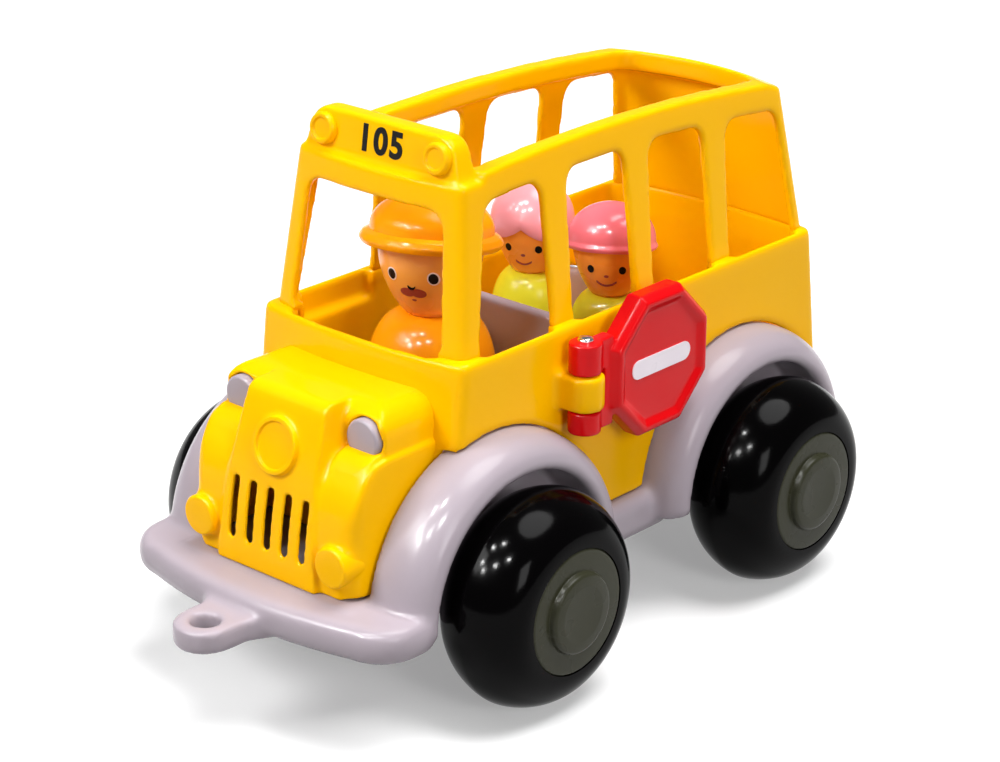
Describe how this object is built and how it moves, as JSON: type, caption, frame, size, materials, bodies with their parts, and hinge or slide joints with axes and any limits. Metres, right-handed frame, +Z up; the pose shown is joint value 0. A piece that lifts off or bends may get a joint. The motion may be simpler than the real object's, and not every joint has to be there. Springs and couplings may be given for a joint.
{
  "type": "toy bus",
  "caption": "Open-roofed toy bus on balloon wheels with a folding octagonal side sign, a slotted grille, a tow tab and lift-out riders seated in its window cabin.",
  "frame": {"origin": "on the floor under the middle of the bus's overall length and width", "axes": "+Z up, the front of the bus faces -Y, the bus's left side with the folding sign faces +X"},
  "size_m": [0.1682, 0.28, 0.184],
  "materials": {
    "yellow_plastic": "glossy moulded plastic",
    "grey_plastic": "glossy moulded plastic",
    "red_plastic": "glossy moulded plastic",
    "chrome_pin": "polished",
    "steel": "drawn steel",
    "tyre_black": "glossy soft tyre",
    "hub_olive": "satin",
    "orange_plastic": "glossy moulded plastic",
    "face_plastic": "satin",
    "lime_plastic": "glossy moulded plastic",
    "pink_plastic": "glossy moulded plastic"
  },
  "bodies": {
    "bus": {"chassis": "grey_plastic", "body_tub": "yellow_plastic", "hood": "yellow_plastic", "cabin_frame": "yellow_plastic", "roof_sign": "yellow_plastic", "seat_tray": "grey_plastic", "headlamp_left": "grey_plastic", "headlamp_right": "grey_plastic", "stop_sign_pin": "chrome_pin", "chassis_screws": "steel"},
    "front_wheels": {"front_axle": "steel", "front_left_tyre": "tyre_black", "front_left_hub": "hub_olive", "front_left_cap": "hub_olive", "front_right_tyre": "tyre_black", "front_right_hub": "hub_olive", "front_right_cap": "hub_olive"},
    "rear_wheels": {"rear_axle": "steel", "rear_left_tyre": "tyre_black", "rear_left_hub": "hub_olive", "rear_left_cap": "hub_olive", "rear_right_tyre": "tyre_black", "rear_right_hub": "hub_olive", "rear_right_cap": "hub_olive"},
    "folding_sign": {"stop_sign": "red_plastic"},
    "driver": {"driver_body": "orange_plastic", "driver_head": "face_plastic", "driver_hat": "orange_plastic"},
    "left_child": {"left_child_body": "lime_plastic", "left_child_head": "face_plastic", "left_child_helmet": "pink_plastic"},
    "right_child": {"right_child_body": "lime_plastic", "right_child_head": "face_plastic", "right_child_hair": "pink_plastic"}
  },
  "joints": [
    {"name": "front_axle_spin", "type": "hinge", "parent": "bus", "child": "front_wheels", "pos_m": [0, -0.044, 0.037], "axis": [1, 0, 0], "continuous": true},
    {"name": "rear_axle_spin", "type": "hinge", "parent": "bus", "child": "rear_wheels", "pos_m": [0, 0.084, 0.037], "axis": [1, 0, 0], "continuous": true},
    {"name": "sign_swing", "type": "hinge", "parent": "bus", "child": "folding_sign", "pos_m": [0.053, -0.008, 0.096], "axis": [0, 0, -1], "range_deg": [0, 90]},
    {"name": "driver_lift", "type": "slide", "parent": "bus", "child": "driver", "axis": [0, 0, 1], "range_m": [0, 0.01]},
    {"name": "left_child_lift", "type": "slide", "parent": "bus", "child": "left_child", "axis": [0, 0, 1], "range_m": [0, 0.03]},
    {"name": "right_child_lift", "type": "slide", "parent": "bus", "child": "right_child", "axis": [0, 0, 1], "range_m": [0, 0.03]}
  ]
}
